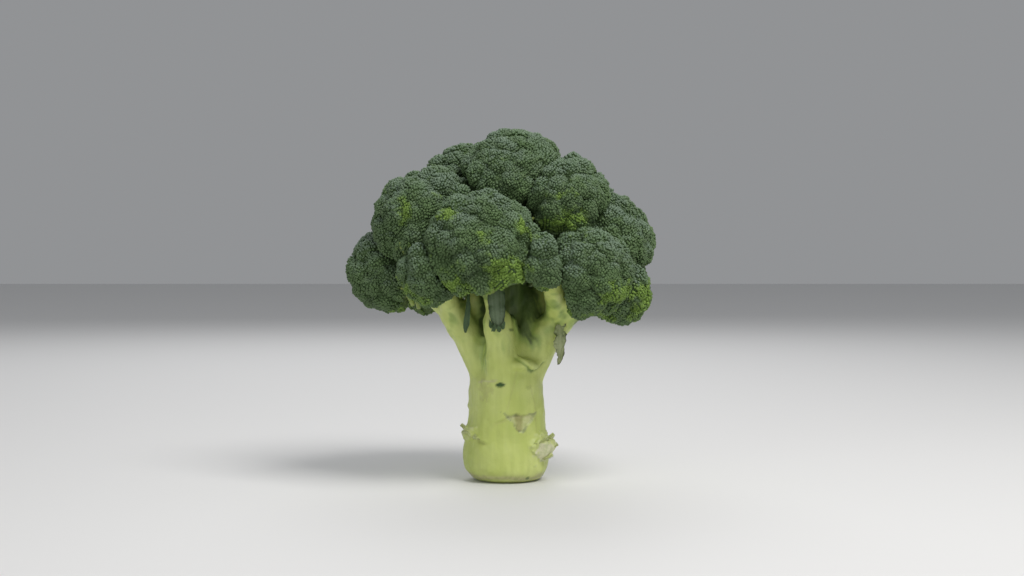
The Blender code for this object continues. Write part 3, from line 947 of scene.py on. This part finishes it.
def bud_cells(count):
    """A square of the texture for each bud, in rows, with the bud laid out in it as a rosette.

    The tip is in the middle and each lower ring further out, so a corner lies at
    (cell + 1/2 + radius x (cos turn, sin turn)) / cells in a row.
    """
    x, y = EGG[EGG_FACES, 0], EGG[EGG_FACES, 1]
    radius = np.interp(EGG_SHARE, [0.0, 0.1, 0.5, 0.85, 1.0], [0.47, 0.39, 0.27, 0.14, 0.0])
    pole = (EGG_FACES == len(EGG) - 1)
    x = np.where(pole, x.sum(1, keepdims=True), x)
    y = np.where(pole, y.sum(1, keepdims=True), y)
    way = unit(np.stack([x, y], -1))
    rosette = 0.5 + way * radius[EGG_FACES][..., None]
    across = int(np.ceil(np.sqrt(count)))
    cell = np.stack([np.arange(count) % across, np.arange(count) // across], 1)
    return (cell[:, None, None] + rosette[None]) / across


# where the yellow-green shows most: a middle in millimetres and a radius
YELLOW_SPOTS = MM * np.array([
    [-3, -56, 104, 8], [8, -53, 106, 7], [-9, -57, 117, 6], [54, -40, 89, 16], [36, -52, 83, 11],
    [65, -22, 91, 14], [29, -35, 132, 11], [-29, -44, 133, 6], [-27, -44, 103, 7],
    [-50, -32, 134, 7], [8, -48, 126, 6], [-42, -38, 92, 9], [30, 48, 104, 12],
    [-34, 50, 98, 11], [-8, 52, 138, 9], [5, 66, 96, 10], [58, 32, 96, 11]])


def buds_part(form):
    """All buds of a floret: an egg for each direction above its rim that lies in the open."""
    rng = form.rng
    count = int(4 * np.pi * form.radius ** 2 / (0.87 * BUD_PITCH ** 2))
    directions = spiral(count)
    shake = np.stack([uneven(directions, 0.35, form.seed + 40 + k, 2) for k in range(3)], 1)
    directions = unit(directions + 0.035 * shake
                      + rng.normal(size=directions.shape) * 0.15 * BUD_PITCH / form.radius)
    tilt, turn = form.angles(directions)
    ragged = 0.06 * uneven(directions, 0.4, form.seed + 60, 2)
    directions = directions[tilt < form.rim_at(turn) + ragged + 0.03]
    openness = form.openness(directions)
    directions, openness = directions[openness > 0.10], openness[openness > 0.10]
    places, normals, crevice = form.surface(directions)
    tilt, turn = form.angles(directions)
    upright = normals[:, 2]
    normals = unit(normals + rng.normal(size=normals.shape) * 0.15)
    first, second = sideways(normals)
    spin = rng.uniform(0, 2 * np.pi, len(places))[:, None]
    first, second = (first * np.cos(spin) + second * np.sin(spin),
                     second * np.cos(spin) - first * np.sin(spin))
    size = BUD_PITCH * rng.uniform(1.05, 1.36, len(places)) * (1 - 0.15 * crevice)
    tall = size * rng.uniform(0.85, 1.10, len(places))
    places = places + normals * (rng.normal(size=len(places)) * 0.11 * BUD_PITCH)[:, None]
    points = (places[:, None] + EGG[None, :, 0:1] * (first * size[:, None])[:, None]
              + EGG[None, :, 1:2] * (second * size[:, None])[:, None]
              + EGG[None, :, 2:3] * (normals * tall[:, None])[:, None])
    faces = EGG_FACES[None] + len(EGG) * np.arange(len(places))[:, None, None]
    near = np.linalg.norm(places[:, None] - YELLOW_SPOTS[None, :, :3], axis=2) / YELLOW_SPOTS[:, 3]
    low = ease(-0.80, 0.0, tilt - form.rim_at(turn))
    patch = 0.85 * np.exp(-near ** 2).max(1) + 0.55 * low + 0.34 * uneven(places, 0.016, 77)
    patch = ease(0.30, 0.95, patch + 0.20 * uneven(places, 0.005, 78))
    # upward-facing buds get the pale bluish coat: partly real wax, partly painted light from above
    wax_and_top_light = ease(-0.20, 0.95, upright + 0.35 * uneven(places, 0.020, 79)) * (1 - 0.5 * low)
    # painted shade: darker deep in crevices and where the other florets hide the sky
    shade = 0.55 * crevice + 0.45 * (1 - ease(0.1, 0.55, openness))
    spread = {"tip": np.tile(EGG_SHARE, len(places))}
    for key, numbers in (("tint", rng.uniform(0, 1, len(places))), ("yellow", patch),
                         ("wax_and_top_light", wax_and_top_light), ("shade", shade)):
        spread[key] = np.repeat(numbers, len(EGG))
    return points.reshape(-1, 3), faces.reshape(-1, 3), spread, bud_cells(len(places))


# %% [markdown]
# ### Pedicels
#
# Under each floret its twig parts into a fan of thin stems. Each is a tube along a curve that
# leaves the twig along the floret's axis and bends out to a place under the dark core.

# %% Pedicels
def pedicels_part(form):
    """A fan of stems from the foot to the hollow under the buds."""
    rng = form.rng
    count = int(np.clip(form.radius / (1.7 * MM), 7, 17))
    parts = []
    t = np.linspace(0, 1, 9)[:, None]
    for k in range(count):
        ring = k % 3
        turn = np.array([k * 2.39996 + rng.uniform(-0.2, 0.2)])
        rim = form.rim_at(turn)[0]
        tilt = np.array([rim + (np.pi - rim) * (0.10, 0.38, 0.66)[ring] + rng.uniform(-0.05, 0.05)])
        direction = form.towards(tilt, turn)
        height, _ = form.height(direction)
        end = form.middle + direction[0] * height[0] * 0.80
        side = direction[0] - form.axis * (direction[0] @ form.axis)
        start = form.foot - form.axis * 2.5 * MM + unit(side) * 2.4 * MM
        bend = start + form.axis * np.linalg.norm(end - start) * 0.45
        path = start * (1 - t) ** 2 + bend * 2 * t * (1 - t) + end * t ** 2
        radii = PEDICEL_RADIUS * rng.uniform(0.8, 1.25) * (1.25 - 0.4 * t[:, 0])
        parts.append(tube_part(path, radii, 0.15 + 0.7 * t[:, 0] ** 1.5))
    return joined(parts)


# %% Every floret
for order, node in enumerate(FLORETS):
    form = Form(node, 100 + 7 * order)
    name = node.removeprefix("floret_")
    made = [make_piece(f"{name}_core", CORE, *core_part(form)),
            make_piece(f"{name}_buds", BUDS, *buds_part(form)),
            make_piece(f"{name}_pedicels", PEDICEL, *pedicels_part(form))]
    for piece in made:
        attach(piece, "root")
        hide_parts(node)
    print(name, "radius %.1f mm" % (1000 * form.radius), [len(p.data.polygons) for p in made])

# %% [markdown]
# ### Stems in the clefts
#
# Here and there a thin pale stem shows in the cleft between two florets. Each starts inside the
# cleft, where a ray from outside first meets a floret, and stands a little out of it.

# %% Stray stems
# across and up in millimetres, how far it leans, and -1 for the front or 1 for the back
SPRIGS = ((-52, 119, 2.0, -1), (-50.5, 117, -1.5, -1), (-51, 97, -2.5, -1), (-49, 93, -2.0, -1),
          (-46.5, 90, -1.0, -1), (12, 131, 1.5, -1), (28, 121, 2.0, -1), (30, 100, 2.0, 1),
          (-22, 118, -2.0, 1), (-24, 116, 1.5, 1), (20, 128, 2.0, 1))
sprigs = []
for x, z, lean, side in SPRIGS:
    hit = ALL_SOLIDS.ray_cast(Vector((x * MM, 0.2 * side, z * MM)), Vector((0, -side, 0)))[0]
    deep = hit.y / MM - side * 6.0
    path = curve([(x - lean, deep, z - 5), (x - 0.5 * lean, deep + side * 3.5, z - 2.5),
                  (x + 0.5 * lean, hit.y / MM + side * 0.6, z)], 8)
    sprigs.append(tube_part(path, np.linspace(1.2, 0.7, 8) * MM, np.linspace(0.0, 0.25, 8)))
stems = make_piece("stray_stems", PEDICEL, *joined(sprigs))
print("stray stems:", len(sprigs))
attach(stems, "root")

# %% [markdown]
# ## Small leaves
#
# Three small leaves are left on the head: a ribbed bract in front of the middle limb, a dark
# young leaf seen edge-on in the left fork, and a torn grey remnant that hangs under the right
# limb. Scraps of torn skin stand at the two cut leaf bases low on the stalk. A leaf is a tube with
# a very flat cross-section. That keeps it one closed surface, and its two margins can differ.

# %% Blades
def blade_part(spine, wide, facing, left, right, thick, cup, ripple, seed, sides=28):
    """A closed blade along a spine, as rings of a flattened tube.

    Round the ring, cos gives the place across from margin to margin and sin the front or back
    skin. The blade bends out of flat by cup x place^2, ripples near its margins, and is thicker
    at its midrib by a narrow bell curve.
    """
    rows = len(spine)
    s = np.linspace(0, 1, rows)[:, None]
    turn = (np.arange(sides) + 0.5)[None] * 2 * np.pi / sides
    across = np.cos(turn) * np.ones_like(s)
    half = np.where(across < 0, left[:, None], right[:, None])
    rib = np.exp(-(across / 0.16) ** 2)
    skin = np.sin(turn) * thick * (0.5 + 0.9 * rib * (1 - 0.6 * s))
    flat = np.stack([across, 3.0 * s + 0 * across, 0 * across], -1).reshape(-1, 3)
    wave = uneven(flat, 0.9, seed, 3).reshape(across.shape)
    bent = cup * across ** 2 + ripple * wave * across ** 2
    rings = spine[:, None] + wide * (across * half)[..., None] + facing * (skin + bent)[..., None]
    points, faces = closed_rings(rings, True)
    veins = np.exp(-(across / 0.13) ** 2) + 0.5 * np.exp(-((np.abs(across) - 0.5) / 0.10) ** 2)
    edge = ease(0.80, 0.98, np.abs(across) + 0.15 * wave)
    values = {"vein": veins, "edge": edge}
    values = {key: np.concatenate([grid.ravel(), [0.0, 0.0]]) for key, grid in values.items()}
    return points, faces, values


def outward(mesh):
    """Turns a closed mesh's faces outwards if its volume comes out negative."""
    points, faces = triangles_of(mesh)
    a, b, c = points[faces].transpose(1, 0, 2)
    if (a * np.cross(b, c)).sum() < 0:
        mesh.flip_normals()


def leaf(name, part, surface, node=None):
    """Makes a blade a piece of the head."""
    piece = make_piece(name, surface, *part)
    outward(piece.data)
    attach(piece, "root")
    if node:
        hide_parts(node)
    print(name, len(part[1]), "triangles")
    return piece


def noise_along(t, pitch, seed):
    """Unevenness along a blade, from 0 at its foot to 1 at its tip."""
    return uneven(np.stack([t, 0 * t, 0 * t], 1), pitch, seed)


# %% The bract and its curls
ROWS = 60
s = np.linspace(0, 1, ROWS)
ragged = noise_along(s, 0.16, 51)
foot_fade = np.sqrt(np.clip(s / 0.03, 0.02, 1))
foot_curl = 1 + 0.35 * np.exp(-((s - 0.05) / 0.035) ** 2) * ragged
bract_half = (2.6 + 1.7 * ease(0.0, 0.6, s) + 0.2 * ragged) * foot_fade * foot_curl * MM
bract_half *= np.sqrt(np.clip((1 - s) / 0.08, 0.02, 1))
bract_spine = curve([(-4.2, -25.0, 76.8), (-4.4, -28.4, 82.6), (-4.8, -29.2, 90.0),
                     (-5.0, -27.0, 98.0)], ROWS)
leaf("front_bract", blade_part(bract_spine, np.array([1.0, 0.10, 0.03]),
                               np.array([0.05, -1.0, 0.1]), bract_half, bract_half * 0.95,
                               0.9 * MM, -1.5 * MM, 0.7 * MM, 52), BRACT, "leaf_front")
t = np.linspace(0, 1, 14)
curl_half = 1.2 * np.sqrt(np.clip(1 - t ** 2, 0.02, 1)) * MM
curls = []
for k, (x, z, lean) in enumerate(((-7.6, 78.9, -0.5), (-6.4, 77.3, 0.9), (-3.6, 77.0, -0.8),
                                  (-1.9, 78.4, 0.9))):
    spine = curve([(x, -25.4, z - 1.4), (x + 0.3 * lean, -26.9, z), (x + lean, -27.6, z + 1.7)],
                  len(t))
    curls.append(blade_part(spine, np.array([1.0, 0.0, 0.1]), np.array([0.0, -0.7, 0.7]),
                            curl_half, curl_half * 0.8, 0.7 * MM, 0.8 * MM, 0.9 * MM, 70 + k, 16))
leaf("bract_curls", joined(curls), YOUNG_LEAF)

# %% The young leaf and the torn remnant
thin = (0.25 + 1.75 * np.sin(np.pi * s ** 0.7)) * MM
young_spine = curve([(-20.4, -14.5, 74.5), (-19.3, -16.6, 80.5), (-18.6, -17.4, 88.0),
                     (-18.8, -16.0, 96.0)], ROWS)
leaf("young_leaf", blade_part(young_spine, unit(np.array([0.85, -0.5, -0.1])),
                              unit(np.array([-0.5, -0.85, 0.0])), thin, thin * 0.8,
                              0.8 * MM, 0.6 * MM, 0.3 * MM, 53), YOUNG_LEAF, "leaf_left")
torn = noise_along(s, 0.22, 54) + 0.5 * noise_along(s, 0.07, 55)
hang_left = 3.4 * np.sin(np.pi * (0.12 + 0.88 * s) ** 0.9) + 1.1 * torn * (1 - s) * s * 3 + 0.3
hang_right = 3.0 * np.sqrt(np.clip(1 - s, 0, 1)) + 0.6 * torn[::-1] * (1 - s) + 0.3
hang_spine = curve([(25.4, -12.6, 78.5), (26.2, -14.8, 72.5), (26.2, -14.6, 66.0),
                    (25.0, -12.6, 58.6)], ROWS)
leaf("hanging_scrap", blade_part(hang_spine, unit(np.array([0.90, 0.40, 0.05])),
                                 unit(np.array([0.38, -0.92, 0.1])), np.abs(hang_left) * MM,
                                 np.abs(hang_right) * MM, 0.7 * MM, 1.2 * MM, 1.6 * MM, 56),
     DRY_LEAF, "leaf_right")

# %% [markdown]
# The scraps at the leaf bases are small blades set side by side on the torn places, each with its
# own lean, length and ragged outline.

# %% Torn skin at the leaf bases
# round and up the skin, length and half width, in millimetres
SCRAPS = ((-28, 25.4, 4.4, 4.2), (-22.5, 24.2, 3.6, 3.8), (-17, 22.4, 2.0, 3.0),
          (18.0, 20.6, 3.2, 3.8), (23.0, 21.6, 4.4, 4.4), (27.0, 16.6, 4.2, 4.6),
          (23.0, 12.4, 3.0, 4.0))
BULGE_TOP, BULGE = 22, 2.4   # below this height the skin bulges by this much
rng = np.random.default_rng(61)
t = np.linspace(0, 1, 16)
scraps = []
for place, rise, long, wide in SCRAPS:
    angle = place / SKIN_RADIUS
    out = np.array([np.sin(angle), -np.cos(angle), 0.0])
    tangent = np.array([np.cos(angle), np.sin(angle), 0.0])
    base = out * 19.6 + np.array([0, 0, rise])
    if rise < BULGE_TOP:
        base = base + out * BULGE
    tip = base + out * long * rng.uniform(0.7, 1.0) + np.array([0, 0, long * rng.uniform(0.0, 0.8)])
    shape = wide * np.sqrt(np.clip(1 - t ** 2.2, 0.02, 1)) * MM
    torn = 0.18 * noise_along(t, 0.35, 62 + int(place))
    scraps.append(blade_part(curve([base - out * 2.0, base, tip], len(t)), tangent,
                             unit(np.cross(tangent, tip - base)), shape * (1 + torn),
                             shape * (1 - torn), 1.5 * MM, 0.7 * MM, 0.5 * MM,
                             63 + int(place), 16))
leaf("torn_scraps", joined(scraps), TORN_SKIN, None)
